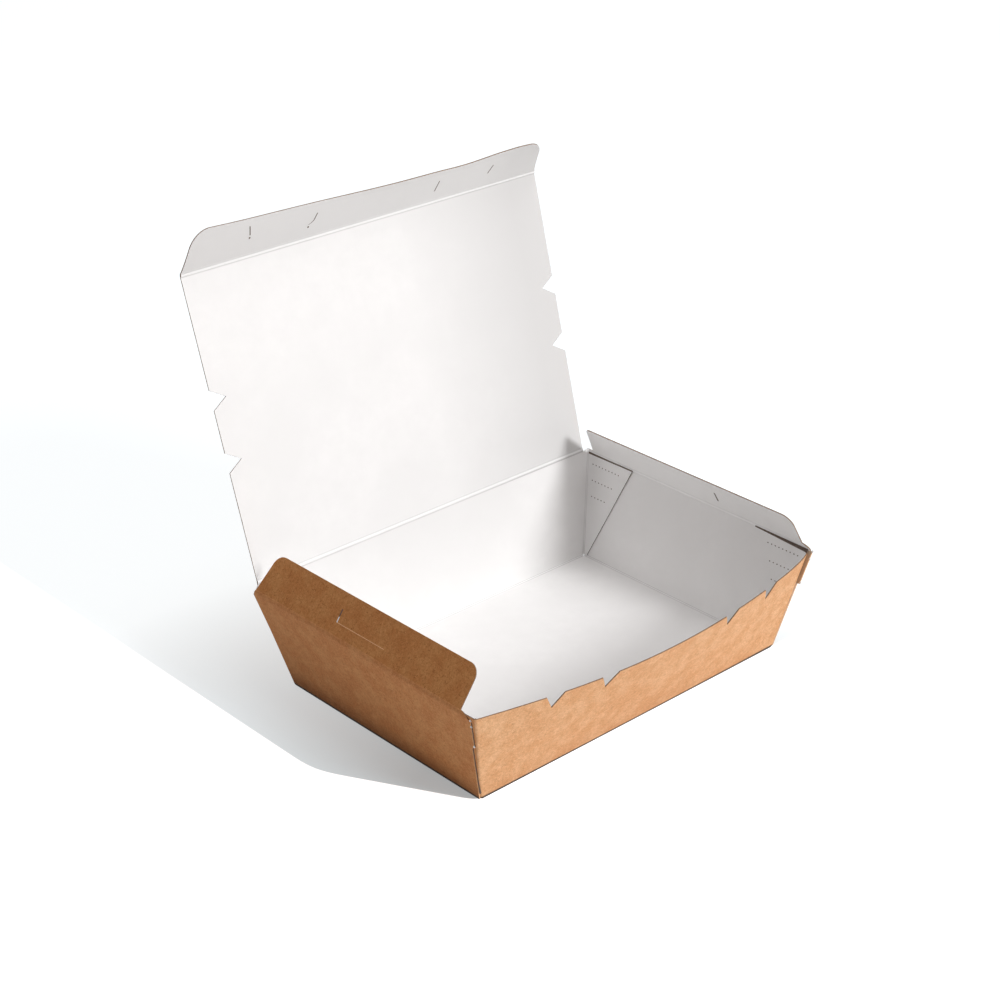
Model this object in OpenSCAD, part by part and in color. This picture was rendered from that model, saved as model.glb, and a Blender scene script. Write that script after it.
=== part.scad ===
// Folded board takeaway box, shown open.
// One creased blank gives a base, four leaning walls, a hinged lid with a tuck-in front flap
// and two side flaps. The front and back walls carry tabs that are glued inside the side walls.
// Millimetres, +Z up, origin at the middle of the underside of the base, front towards -Y.
// Each panel is drawn as a flat outline on the middle of the board and then folded into place.

/* [Board] */
// Thickness of the board
board = 0.5; // [0.35:0.05:0.7]
// Gap from a hinge crease's axis to the panel that turns on it
crease_gap = 0.55; // [0.45:0.05:0.7]

/* [Base] */
// Length of the base, side to side
base_length = 180; // [160:1:210]
// Depth of the base, front to back
base_depth = 122.5; // [110:0.5:140]

/* [Side walls] */
// Height of a side wall along its slope
side_slant = 51.1; // [40:0.1:65]
// Outward lean of the side walls, in degrees
side_lean = 15.2; // [8:0.1:20]
// How far the top crease runs past the base at each end
side_overhang = 8.4; // [6:0.1:9.5]
// Height on the wall where the ear at its front end begins
ear_start = 33.3; // [20:0.1:38]
// How far the ear stands forward
ear_step = 1.3; // [0.5:0.1:2]

/* [Back wall] */
// Height of the back wall along its slope
back_slant = 52.2; // [45:0.1:66]
// Outward lean of the back wall, in degrees
back_lean = 12.7; // [10:0.1:16]
// How much lower the back wall's corners are than the lid's crease, along the slope
shoulder_drop = 4.2; // [1:0.1:6]

/* [Front wall] */
// Height along the slope at the middle of the front wall
front_slant = 52.3; // [44:0.1:54]
// Height along the slope at its two corners
front_corner_slant = 49.4; // [40:0.1:50]
// Outward lean at the middle, where the free edge bows out, in degrees
front_lean = 26.3; // [18:0.1:28]
// Outward lean at the corners, which the tabs hold, in degrees
front_corner_lean = 12.5; // [11:0.1:16]

/* [Glued tabs] */
// Width of a tab at its top
tab_top = 31; // [20:0.5:40]
// Width of a tab at the base
tab_bottom = 2; // [1:0.5:6]
// How far a tab's top stays below the side wall's crease
tab_drop = 1; // [0.8:0.1:3]

/* [Locking tongues] */
// Distance between the two V cuts that make a tongue
tongue_pitch = 28.1; // [22:0.1:32]
// Width of a V cut at the edge
cut_width = 9; // [6:0.1:12]
// Depth of a V cut
cut_depth = 7.5; // [4:0.1:9]
// Middle of each front tongue from the middle of the box
front_tongue_x = 51.5; // [40:0.1:60]
// Middle of each lid tongue from the lid's crease
lid_tongue_y = 68.6; // [60:0.1:80]

/* [Lid] */
// How far each end of the lid's crease stays inside the back wall's corner
lid_inset = 4.2; // [1:0.1:8]
// How much further out each end of the lid's front edge stands
lid_flare = 2.7; // [0:0.1:4]
// Depth of the lid from crease to crease
lid_depth = 137.6; // [134:0.1:138.5]
// Opening angle as stored, counted from closed, in degrees
lid_angle = 106; // [90:1:120]

/* [Lid front flap] */
// Width of the flap
tuck_width = 20.3; // [14:0.1:24]
// Fold of the flap as stored, in degrees from flat
tuck_fold = 40; // [20:1:70]
// Radius of its outer corners
tuck_radius = 10; // [6:0.1:12]
// Middle of each pair of slits from the middle of the flap
slit_pair_x = 52.6; // [45:0.1:60]
// Distance between the two slits of a pair
slit_pitch = 34.7; // [28:0.1:38]
// Distance of the slits from the crease
slit_start = 8.5; // [6:0.1:10]
// Length of a slit
slit_length = 6; // [4:0.1:8]
// Width of the slits and slots
slit_width = 0.6; // [0.3:0.1:1]

/* [Side flaps] */
// Width of a side flap
flap_width = 19.6; // [14:0.1:22]
// Inward lean of the left flap as stored, in degrees from upright
left_flap_lean = 35.4; // [20:0.1:60]
// Inward lean of the right flap as stored, in degrees from upright
right_flap_lean = 30.5; // [20:0.1:60]
// Distance from the front end of the crease to the flap
flap_front_inset = 5.3; // [5.2:0.1:9]
// Distance from the back end of the crease to the flap
flap_back_inset = 0.8; // [0.5:0.1:3]
// How much the flap narrows at its back end
flap_back_taper = 4.4; // [2:0.1:7]
// Radius of the flap's front corner
flap_front_radius = 5.5; // [3:0.1:10]
// Radius of the flap's back corner
flap_back_radius = 6; // [3:0.1:8]
// Length of the slot that takes the lid's side tongue
slot_length = 32.6; // [28:0.1:38]
// Distance of the slot from the crease
slot_start = 6.5; // [5:0.1:8]
// Depth of the slot's two ends
slot_end = 6; // [3:0.1:7]

/* [Hidden] */
kraft = "#c68f5e";
crease_fn = 24;
corner_steps = 12;
// The crease line's diameter and the step between two glued boards, as shares of the board
fold_share = 0.9;
glued_share = 0.88;
// Shares of a V cut's width that keep other columns away from it
cut_margin = 0.6;
// Extra slope of the front flap's ends, in degrees, that lets it slide in beside the walls
end_slope = 1;

// Middle plane of the base
base_z = board / 2;
// Half length between the tabs' middle planes at the base
tab_half = base_length / 2 - board * glued_share / cos(side_lean);
// Crease between a side wall and its flap
side_crease_x = base_length / 2 + side_slant * sin(side_lean);
side_crease_z = base_z + side_slant * cos(side_lean);
side_crease_half = base_depth / 2 + side_overhang;
// Crease between the back wall and the lid
lid_crease_y = base_depth / 2 + back_slant * sin(back_lean);
lid_crease_z = base_z + back_slant * cos(back_lean);
// Half widths of the back wall's top, the lid's crease and the lid's front edge
back_top_half = tab_half + back_slant * cos(back_lean) * tan(side_lean);
lid_back_half = back_top_half - lid_inset;
lid_front_half = lid_back_half + lid_flare;
// Corner creases of the front and back walls, in the plane of the tabs
front_corner_y = base_depth / 2 + front_corner_slant * sin(front_corner_lean);
front_corner_v = front_corner_slant * cos(front_corner_lean) / cos(side_lean);
shoulder_v = back_slant - shoulder_drop;
shoulder_half = tab_half + shoulder_v * cos(back_lean) * tan(side_lean);
back_corner_y = base_depth / 2 + shoulder_v * sin(back_lean);
back_corner_v = shoulder_v * cos(back_lean) / cos(side_lean);
tab_top_v = side_slant - tab_drop;
tab_rim_v = min(front_corner_v, tab_top_v);

// Across the front wall, u runs from -1 at the left corner to 1 at the right corner
function wall_lean(u) = front_lean - (front_lean - front_corner_lean) * u * u;
function wall_slant(u) = front_slant + (front_corner_slant - front_slant) * u * u;
function wall_half(u, v) = tab_half + v * cos(wall_lean(u)) * tan(side_lean);
function wall_u(x) = x / wall_half(0, front_slant);
// A point of the front wall at height v on its slope, offset n outwards
function wall_point(u, v, n) = [
    u * wall_half(u, v),
    -base_depth / 2 - v * sin(wall_lean(u)) - n * cos(wall_lean(u)),
    base_z + v * cos(wall_lean(u)) - n * sin(wall_lean(u))
];

// Places along the front wall where a V cut is centred
front_cuts = [for (side = [-1, 1], end = [-1, 1]) side * front_tongue_x + end * tongue_pitch / 2];
// Columns of the front wall: each is [u, how much of a V cut's depth is taken off]
plain_steps = 28;
plain_columns = [
    for (i = [0 : plain_steps])
        let (u = 2 * i / plain_steps - 1)
        if (min([for (c = front_cuts) abs(u - wall_u(c))]) > wall_u(cut_width * cut_margin)) [u, 0]
];
cut_columns = [for (c = front_cuts, k = [-1, 0, 1]) [wall_u(c + k * cut_width / 2), 1 - abs(k)]];
function sorted(list) = len(list) < 2 ? list :
    let (pivot = list[floor(len(list) / 2)][0])
    concat(
        sorted([for (c = list) if (c[0] < pivot) c]),
        [for (c = list) if (c[0] == pivot) c],
        sorted([for (c = list) if (c[0] > pivot) c])
    );
columns = sorted(concat(plain_columns, cut_columns));

// A flat panel from an outline drawn on the board's middle plane
module panel(outline) {
    linear_extrude(height = board, center = true)
        polygon(outline);
}

// The pressed line of a fold, along a line between two points
module crease(from, to) {
    run = to - from;
    length = norm(run);
    translate(from)
        rotate([0, acos(run[2] / length), atan2(run[1], run[0])])
            cylinder(h = length, d = board * fold_share, $fn = crease_fn);
}

// Stands a panel up on a crease along X, leaning back by an angle
module stand_on_x(y, z, lean) {
    translate([0, y, z])
        rotate([90 - lean, 0, 0])
            children();
}

// Stands a panel up on a crease along Y on the right, leaning outwards by an angle
module stand_on_y(x, z, lean) {
    translate([x, 0, z])
        rotate([0, lean, 0])
            rotate([90, 0, 90])
                children();
}

module on_both_sides() {
    children();
    mirror([1, 0, 0])
        children();
}

module base_panel() {
    translate([0, 0, base_z])
        cube([base_length, base_depth, board], center = true);
}

// The right side wall, with the ear at its front end
module side_wall() {
    half = base_depth / 2;
    ear_y = half + side_overhang * ear_start / side_slant;
    stand_on_y(base_length / 2, base_z, side_lean)
        panel([
            [-half, 0],
            [half, 0],
            [side_crease_half, side_slant],
            [-side_crease_half, side_slant],
            [-side_crease_half - ear_step, side_slant - ear_step],
            [-ear_y - ear_step, ear_start],
            [-ear_y, ear_start]
        ]);
}

module back_wall() {
    stand_on_x(base_depth / 2, base_z, back_lean)
        panel([
            [-tab_half, 0],
            [tab_half, 0],
            [shoulder_half, shoulder_v],
            [lid_back_half, back_slant],
            [-lid_back_half, back_slant],
            [-shoulder_half, shoulder_v]
        ]);
}

// The front wall: its sections are straight, and they lean further out towards the middle
module front_wall() {
    rings = [
        for (c = columns)
            let (v = wall_slant(c[0]) - cut_depth * c[1])
            [
                wall_point(c[0], 0, board / 2),
                wall_point(c[0], 0, -board / 2),
                wall_point(c[0], v, -board / 2),
                wall_point(c[0], v, board / 2)
            ]
    ];
    count = len(rings);
    strips = [
        for (i = [0 : count - 2], k = [0 : 3])
            let (a = 4 * i + k, b = 4 * i + (k + 1) % 4)
            each [[a, b + 4, b], [a, a + 4, b + 4]]
    ];
    last = 4 * (count - 1);
    polyhedron(
        points = [for (r = rings, p = r) p],
        faces = concat(strips, [[0, 1, 2, 3], [last + 3, last + 2, last + 1, last]])
    );
}

// The two tabs that are glued inside the right side wall
module tabs() {
    half = base_depth / 2;
    stand_on_y(tab_half, base_z, side_lean) {
        panel([
            [-half, 0],
            [-half + tab_bottom, 0],
            [-front_corner_y + tab_top, tab_rim_v],
            [-front_corner_y, front_corner_v]
        ]);
        panel([
            [half, 0],
            [back_corner_y, back_corner_v],
            [side_crease_half, tab_top_v],
            [lid_crease_y - tab_top, tab_top_v],
            [half - tab_bottom, 0]
        ]);
    }
}

module tray() {
    color(kraft) {
        base_panel();
        front_wall();
        back_wall();
        on_both_sides() {
            side_wall();
            tabs();
        }
    }
}

// Places its children on the lid's middle plane, with y counted from the lid's crease
module on_lid() {
    stand_on_x(lid_crease_y, lid_crease_z, lid_angle - 90)
        children();
}

function lid_half(y) = lid_back_half + lid_flare * y / lid_depth;
// The right edge of the lid with its two V cuts, from the crease to the front
lid_cuts = [lid_tongue_y - tongue_pitch / 2, lid_tongue_y + tongue_pitch / 2];
lid_right_edge = concat(
    [[lid_half(crease_gap), crease_gap]],
    [
        for (y = lid_cuts, k = [-1, 0, 1])
            let (at = y + k * cut_width / 2)
            [lid_half(at) - cut_depth * (1 - abs(k)), at]
    ],
    [[lid_half(lid_depth), lid_depth]]
);
function mirrored(outline) = [for (i = [len(outline) - 1 : -1 : 0]) [-outline[i][0], outline[i][1]]];

module lid() {
    color(kraft)
        on_lid() {
            panel(concat(lid_right_edge, mirrored(lid_right_edge)));
            crease([-lid_half(lid_depth), lid_depth, 0], [lid_half(lid_depth), lid_depth, 0]);
        }
}

// Points of a rounded corner between two directions, given as angles of the arc
function arc(centre, radius, first, last, steps) = [
    for (i = [0 : steps])
        let (a = first + (last - first) * i / steps)
        centre + radius * [cos(a), sin(a)]
];

// The lid's front flap. Its ends slope like the side walls, so that it slides in between them
module lid_front_flap() {
    slope = side_lean + end_slope;
    foot = lid_front_half - crease_gap * tan(slope);
    reach = tuck_width - tuck_radius;
    // Centre of the corner's arc, which touches both the sloping end and the outer edge
    centre = [foot - (reach - crease_gap) * tan(slope) - tuck_radius / cos(slope), reach];
    right_edge = concat([[foot, crease_gap]], arc(centre, tuck_radius, slope, 90, corner_steps));
    color(kraft)
        on_lid()
            translate([0, lid_depth, 0])
                rotate([tuck_fold, 0, 0])
                    linear_extrude(height = board, center = true)
                        difference() {
                            polygon(concat(right_edge, mirrored(right_edge)));
                            for (side = [-1, 1], end = [-1, 1])
                                translate([
                                    side * slit_pair_x + end * slit_pitch / 2 - slit_width / 2,
                                    slit_start
                                ])
                                    square([slit_width, slit_length]);
                        }
}

// The right side flap, at an inward lean from upright
module side_flap(lean) {
    front = -side_crease_half + flap_front_inset;
    back = side_crease_half - flap_back_inset;
    back_slope = atan(flap_back_taper / flap_width);
    back_rise = flap_width - flap_back_radius;
    back_centre = [
        back - flap_back_taper * back_rise / flap_width - flap_back_radius / cos(back_slope),
        back_rise
    ];
    front_centre = [front + flap_front_radius, flap_width - flap_front_radius];
    slot_half = slot_length / 2;
    stand_on_y(side_crease_x, side_crease_z, -lean)
        linear_extrude(height = board, center = true)
            difference() {
                polygon(concat(
                    [[front, crease_gap], [back, crease_gap]],
                    arc(back_centre, flap_back_radius, back_slope, 90, corner_steps),
                    arc(front_centre, flap_front_radius, 90, 180, corner_steps)
                ));
                translate([-slot_half, slot_start - slit_width / 2])
                    square([slot_length, slit_width]);
                for (end = [-1, 1])
                    translate([end * slot_half - slit_width / 2, slot_start - slit_width / 2])
                        square([slit_width, slot_end]);
            }
}

module left_flap() {
    color(kraft)
        mirror([1, 0, 0])
            side_flap(left_flap_lean);
}

module right_flap() {
    color(kraft)
        side_flap(right_flap_lean);
}

tray();
lid();
lid_front_flap();
left_flap();
right_flap();
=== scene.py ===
"""Open takeaway box folded from one creased blank: kraft outside, white inside.

Each panel is a grid surface of the board's middle, from named sizes, which Shells.sheet turns
into a thin closed shell with its own material on the outside, the inside and the cut edge.
Metres, +Z up, front towards -Y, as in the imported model.
"""

import math

import bpy
import numpy as np
from mathutils import Matrix, Vector


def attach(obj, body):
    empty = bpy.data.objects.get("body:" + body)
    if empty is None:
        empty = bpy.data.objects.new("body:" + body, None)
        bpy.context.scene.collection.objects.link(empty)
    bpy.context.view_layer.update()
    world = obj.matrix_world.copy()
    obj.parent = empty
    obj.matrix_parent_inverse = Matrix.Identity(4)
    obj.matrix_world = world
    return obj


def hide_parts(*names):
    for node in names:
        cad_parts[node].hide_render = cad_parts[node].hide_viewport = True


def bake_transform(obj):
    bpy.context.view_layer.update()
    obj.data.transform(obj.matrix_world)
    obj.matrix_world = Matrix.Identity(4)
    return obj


bl_info = {
    "name": "Takeaway Box",
    "version": (1, 0, 0),
    "blender": (4, 5, 0),
    "location": "View3D > Sidebar > Takeaway Box",
    "description": "Builds an open takeaway box of kraft board with its lid and flaps",
    "category": "Add Mesh",
}

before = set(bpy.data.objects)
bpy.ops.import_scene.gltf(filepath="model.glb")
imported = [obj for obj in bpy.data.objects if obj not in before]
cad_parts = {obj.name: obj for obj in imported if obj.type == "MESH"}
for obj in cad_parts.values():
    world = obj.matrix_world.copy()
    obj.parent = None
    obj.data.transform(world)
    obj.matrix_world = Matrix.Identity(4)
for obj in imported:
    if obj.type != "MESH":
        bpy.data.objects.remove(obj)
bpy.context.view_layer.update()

RIGHT = np.array([1.0, 0.0, 0.0])
BACK = np.array([0.0, 1.0, 0.0])

# A point in the tray's space, towards which the white faces of its walls look.
TRAY_MIDDLE = np.array([0.0, 0.0, 0.06])

# Material slots, in the order of board_materials.
OUTSIDE, INSIDE, EDGE, SLIT, KERF, SHADED_SIDE, BARE = range(7)

# Steps of the grids: over a fold, round a corner, down one side of a V cut, across a tab, over
# the base, up the back and front walls, and along a slit.
FOLD_STEPS = 8
CORNER_STEPS = 17
CUT_STEPS = 4
TAB_STEPS = 16
BASE_STEPS = 60
BACK_STEPS = 20
FRONT_STEPS = 24
SLIT_STEPS = 8

# Rows: of a side wall under its ear and in it, of the lid, of a flap before its corner, and of
# pricks in a tab.
WALL_ROWS = 14
EAR_ROWS = 10
LID_ROWS = 56
FLAP_ROWS = 8
PRICK_ROWS = 3

# Columns: of the side walls and base, the front and back walls, a tab, the lid's front flap, and
# the other panels and creases.
WALL_COLUMNS = 41
FRONT_COLUMNS = 121
BACK_COLUMNS = 59
TAB_COLUMNS = 36
TUCK_COLUMNS = 81
PANEL_COLUMNS = 61

# The angle over which an edge stays sharp, the share of its height where a tab begins, and how
# many half turns a crease's painted highlight and shade make across its fold.
SHARP_ANGLE = math.radians(38)
TAB_START = 0.015
GROOVE_TURNS = 2.3

# Shares: how much of the board's thickness lies between the middles of two glued layers, the
# clear space round a V cut in its widths, how much of a fold's reach the front wall leaves free
# at its ends, and the power of u by which the right corner is pulled upright.
GLUED_SHARE = 0.88
CUT_CLEAR = 0.55
CORNER_SHARE = 0.95
PULL_POWER = 12

# The front flap's edge: phase of its wave, growth of its hollow towards the ends, width of its
# dip in corner radii, and where its right end begins to droop.
WAVE_PHASE = 0.6
HOLLOW_SHARE = 2.3
DIP_REACH = 1.6
END_SHARE = 0.82

# The front flap's four slits from the left: top and foot, each across and up from the crease.
SLITS = (
    ((-0.0688, 0.0164), (-0.0680, 0.0116)),
    ((-0.0320, 0.0139), (-0.0339, 0.0083)),
    ((0.0379, 0.0130), (0.0369, 0.0066)),
    ((0.0707, 0.0130), (0.0689, 0.0083)),
)
DOTTED_SLITS = 2
HOOKED_SLIT = 1
HOOK_START = 0.6

# White nicks in the side walls' front edges: heights up the wall, reach below and above, widths.
NICKS = (0.0344, 0.0464, 0.0500)
NICK_BELOW = 0.0006
NICK_ABOVE = 0.0004
NICK_WIDTH = 0.0009
NICK_TIP = 0.0003

# The painted shadow over a tab: its greatest width in tab gaps, where it starts on the left, and
# how much lower it lies at the right back corner.
GAP_MOST = 1.8
GAP_START = 0.3
GAP_SINK = 0.0004

# A side flap's slot: the share of its half length that shows, the share of its end that shows
# white on the left, and line widths as shares of a slit's. The wide one is also a slit's dot.
SLOT_SHARE = 0.88
SLOT_FOOT = 0.42
KERF_SHARE = 0.45
SLOT_LEFT_SHARE = 1.2
WIDE_SHARE = 1.6

# Small depths: the step in height at the ear, how far a bar stands out of the board, how deep a
# closed cut's line lies and its thickness, and a prick's rise, depth and flatness.
EAR_JUMP = 0.0001
BAR_RISE = 0.00004
KERF_SINK = 0.00006
KERF_DEPTH = 0.00008
PRICK_RISE = 0.00003
PRICK_DEPTH = 0.00006
PRICK_FLAT = 0.62

# The board's noise: scale, detail, roughness and distortion of the mottling and the grain, the
# last three of the flecks and their two stretches, and each kind of fleck with its scale and
# the levels between which it shows.
MOTTLE = (130, 3, 0.62)
GRAIN = (900, 5, 0.7, 0.8)
FLECK_NOISE = (1.5, 0.5, 1.2)
FLECK_STRETCHES = ((1.0, 3.2, 1.0), (3.2, 1.0, 2.4))
FLECKS = (("Dark Flecks", 620, 0.60, 0.72), ("Pale Flecks", 700, 0.58, 0.72))

# Finishes: roughness where the fibre is low and high, strength and height of the relief, shine.
KRAFT_FINISH = ((0.70, 0.86), (0.25, 0.00012), 0.3)
WHITE_FINISH = ((0.40, 0.50), (0.06, 0.0001), 0.4)

# The whites: pure white, which is also the painted highlight on a crease's ridge, then the
# mottling, the lid's painted shade and the painted shade in a crease's grooves as shares of the
# board's white, and the places where the lid's painted shade lies. Kraft: the heights over which
# the painted shade at the side walls' foot and the painted contact shadow at the floor darken.
PURE_WHITE = (1.0, 1.0, 1.0)
MOTTLE_SHADE = 0.955
LID_PAINTED_SHADE = 0.775
GROOVE_PAINTED_SHADE = 0.42
LID_SHADE_X = (0.015, 0.085)
LID_SHADE_Z = (0.1835, 0.1850)
PAINTED_FOOT_SHADE = (0.0005, 0.0110)
PAINTED_CONTACT_SHADOW = (0.0015, 0.0022)

# Camera: place, then yaw from +X, pitch down and roll in degrees, then sensor, lens and how
# far it sees.
CAMERA_PLACE = (-0.57685, -0.60808, 0.50299)
CAMERA_TURN = (47.624, 26.568, -0.369)
CAMERA_SENSOR = 36
CAMERA_LENS = 77.67
CAMERA_END = 20

# A broad key from the front right, above the box, and a weaker lamp overhead: name, place, width
# and power. The world's light is dim.
LAMPS = (("key", (1.3, -3.9, 2.4), 1.5, 150.0), ("top", (0.5, -0.3, 3.4), 2.0, 38.0))
FILL_STRENGTH = 0.232

# The floor: its half width, how far it lies under the box, and the lines that bound the shadow
# painted on it, each a direction and a distance from the middle. Then how their corners round,
# how soft they are, the painted shadow's darkest place, the distances from it over which it
# fades, and the glow at those distances.
GROUND_REACH = 6.0
GROUND_DROP = 0.00001
SHADOW_LINES = ((-1.0, 0.0, 0.1255), (-0.8726, -0.4887, 0.1083), (0.0, -1.0, 0.0602))
SHADOW_ROUNDING = 0.008
SHADOW_EDGE = 0.0009
SHADOW_FOOT = (-0.09, -0.061, 0.0)
SHADOW_FADE = (0.03, 0.22)
SHADOW_GLOW = (0.35, 0.825)


# Settings

def length(name, default, description):
    """A size in metres that the sidebar shows as a length."""
    return bpy.props.FloatProperty(
        name=name, description=description, default=default, min=0.0, precision=5, unit="LENGTH"
    )


def turn(name, degrees, description):
    """An angle, given in degrees and kept in radians."""
    return bpy.props.FloatProperty(
        name=name, description=description, default=math.radians(degrees), subtype="ANGLE"
    )


def colour(name, rgb, description):
    """A linear colour."""
    return bpy.props.FloatVectorProperty(
        name=name, description=description, default=rgb, size=3, min=0.0, max=1.0, subtype="COLOR"
    )


class BoxSizes(bpy.types.PropertyGroup):
    """Sizes of the folded blank"""

    board: length("Board", 0.0005, "Thickness of the board")
    base_length: length("Base length", 0.180, "Length of the base, side to side")
    base_depth: length("Base depth", 0.1225, "Depth of the base, front to back")
    fold_reach: length("Fold reach", 0.0009, "Length of board on each side that a fold rounds")
    crease_bead: length("Crease bead", 0.00034, "Height of the pressed ridge inside a crease")
    hinge_reach: length("Hinge reach", 0.0013, "Board on each side that a hinge crease bends")

    side_slant: length("Side slant", 0.0511, "Height of a side wall along its slope")
    side_lean: turn("Side lean", 15.2, "Outward lean of the side walls")
    side_overhang: length("Side overhang", 0.0084, "How far the top crease runs past the base")
    ear_start: length("Ear start", 0.0333, "Height where the ear at the front end begins")
    ear_step: length("Ear step", 0.0013, "How far the ear stands forward")
    ear_width: length("Ear width", 0.0022, "Width of the bare kraft strip inside the ear")

    back_slant: length("Back slant", 0.0522, "Height of the back wall along its slope")
    back_lean: turn("Back lean", 12.7, "Outward lean of the back wall")

    front_slant: length("Front slant", 0.0523, "Height of the front wall in the middle")
    front_corner_slant: length("Front corner slant", 0.0494, "The same height at its corners")
    front_lean: turn("Front lean", 26.3, "Lean in the middle, where the free edge bows out")
    front_corner_lean: turn("Front corner lean", 12.5, "Lean at the corners, which the tabs hold")
    front_sway: turn("Front sway", 1.5, "How much more the left half leans than the right")
    front_rise: length("Front rise", 0.0020, "How much higher the left corner stands")
    corner_pull: turn("Corner pull", 2.4, "How far the glue pulls the right corner upright")

    front_cut_depth: length("Front cut depth", 0.0080, "Depth of the V cuts in the front wall")
    cut_skew: length("Cut skew", 0.0010, "How far out of its middle a front V cut's tip is")
    cut_shift: length("Cut shift", 0.0014, "How far the rightmost V cut stands out of its place")

    shoulder_drop: length("Shoulder drop", 0.0042, "How far the back wall's corners are cut down")
    right_shoulder_drop: length("Right shoulder drop", 0.0006, "The same at the right corner")
    # Painted shadow: the width of the dark bar in the gap beside a side wall's front edge.
    edge_gap: length("Edge gap", 0.0006, "Dark gap between a side wall's front edge and the tab")
    edge_gap_start: length("Edge gap start", 0.0040, "Height where that gap begins")
    edge_gap_end: length("Edge gap end", 0.0485, "Height where that gap ends")
    tab_root: length("Tab root", 0.0040, "How far along its wall a tab's fold is measured")
    tab_lift: length("Tab lift", 0.0003, "How far a tab's free top corner stands off the side wall")
    # Painted shadow: the width of the dark bar over a tab's top edge.
    tab_gap: length("Tab gap", 0.0009, "Width of the dark gap over a tab's top edge")
    tab_top: length("Tab top", 0.031, "Width of a glued tab at its top")
    tab_bottom: length("Tab bottom", 0.002, "Width of a glued tab at the base")
    tab_drop: length("Tab drop", 0.001, "How far a tab stays below the side crease")

    tongue_pitch: length("Tongue pitch", 0.0281, "Distance between the two V cuts of a tongue")
    cut_width: length("Cut width", 0.0090, "Width of a V cut at the edge")
    cut_depth: length("Cut depth", 0.0075, "Depth of a V cut")
    front_tongue_x: length("Front tongue", 0.0515, "Middle of a front tongue from the box's middle")
    lid_tongue_y: length("Lid tongue", 0.0686, "Middle of a lid tongue from the lid's crease")

    lid_inset: length("Lid inset", 0.0042, "From the back wall's corner to the lid's crease")
    lid_flare: length("Lid flare", 0.0027, "How much further out the lid's front corners stand")
    lid_depth: length("Lid depth", 0.1376, "Depth of the lid from crease to crease")
    lid_angle: turn("Lid angle", 106.0, "Opening angle, counted from closed")

    tuck_width: length("Tuck width", 0.0203, "Width of the lid's front flap")
    tuck_fold: turn("Tuck fold", 40.0, "Fold of the lid's front flap from flat")
    tuck_radius: length("Tuck radius", 0.010, "Radius of the front flap's outer corners")
    tuck_ease: turn("Tuck ease", 4.0, "How much less the front flap's ends slope than the walls")
    tuck_twist: turn("Tuck twist", 7.0, "How much more its right end folds than its middle")
    tuck_hollow: length("Tuck hollow", 0.0013, "How far the outer edge draws in at its middle")
    tuck_dip: length("Tuck dip", 0.0011, "How far the outer edge dips on its right")
    tuck_wave: length("Tuck wave", 0.0004, "Height of the slight waves along the outer edge")
    wave_length: length("Wave length", 0.1052, "Length of a wave along the outer edge")
    slit_width: length("Slit width", 0.0005, "Width of the dark line that a slit shows")
    slit_hook: length("Slit hook", 0.0019, "How far the hooked slit turns aside")
    slit_dot: length("Slit dot", 0.0009, "Length of the dot under a slit, and of the space over it")

    flap_width: length("Flap width", 0.0196, "Width of a side flap")
    left_flap_lean: turn("Left flap lean", 35.4, "Inward lean of the left flap from upright")
    right_flap_lean: turn("Right flap lean", 30.5, "Inward lean of the right flap from upright")
    flap_front_inset: length("Flap front inset", 0.0049, "From the crease's front end to the flap")
    flap_back_inset: length("Flap back inset", 0.0008, "From the crease's back end to the flap")
    flap_back_taper: length("Flap back taper", 0.0044, "How much the flap narrows at its back end")
    flap_front_radius: length("Flap front radius", 0.0055, "Radius of the flap's front corner")
    flap_back_radius: length("Flap back radius", 0.006, "Radius of the flap's back corner")
    right_back_radius: length("Right back radius", 0.0022, "Radius of the right flap's back corner")
    slot_length: length("Slot length", 0.0326, "Length of a side flap's slot")
    slot_start: length("Slot start", 0.0065, "Distance of the slot from the crease")
    slot_end: length("Slot end", 0.006, "Depth of the slot's two ends")

    dot_rows: length("First dot row", 0.0455, "Height of the top row of glue pricks")
    dot_row_step: length("Dot row step", 0.0078, "Distance between rows of glue pricks")
    dot_step: length("Dot step", 0.0022, "Distance between two glue pricks")
    dot_size: length("Dot size", 0.00085, "Width of a glue prick")
    dot_from_fold: length("Dots from fold", 0.004, "From a tab's fold to a row's first prick")
    dot_from_edge: length("Dots from edge", 0.005, "The least from its last prick to the free edge")


class BoxColours(bpy.types.PropertyGroup):
    """Colours of the board and the stage"""

    kraft: colour("Kraft", (0.79, 0.425, 0.208), "The outside of the board")
    kraft_dark: colour("Kraft dark", (0.40, 0.175, 0.066), "Dark fibres on the outside")
    kraft_pale: colour("Kraft pale", (0.94, 0.60, 0.34), "Pale fibres on the outside")
    # Painted shade: these two tones make the kraft of the side walls and side flaps darker and
    # deeper than the front's.
    side_painted_shade: colour("Side tone", (0.78, 0.62, 0.45), "Deepens the kraft of the side walls")
    flap_painted_shade: colour("Flap tone", (0.67, 0.51, 0.32), "Deepens the kraft of the side flaps")
    white: colour("White", (0.88, 0.875, 0.87), "The coated inside of the board")
    # The board's raw brown at a cut edge, darkened further as painted shade.
    cut: colour("Cut edge", (0.27, 0.16, 0.095), "The cut edge of the board")
    bare: colour("Bare board", (0.57, 0.45, 0.33), "The uncoated strips inside the ears")
    # Painted shade: the dark of slits, of the gaps over and beside the tabs and of a tab's free
    # edge; the pricks take it too, and half of it is the painted contact shadow at the floor.
    slit: colour("Slit", (0.10, 0.075, 0.06), "The dark line of a slit or prick")
    ground: colour("Ground", (0.80, 0.79, 0.78), "The floor, as the box sees it")
    # The painted shadow's colour on the floor.
    shadow: colour("Shadow", (0.27, 0.33, 0.355), "The floor in the shadow, as the camera sees it")
    fill: colour("Fill light", (1.0, 0.905, 0.885), "The soft light from all round")


# Small geometry functions, all on whole arrays

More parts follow.
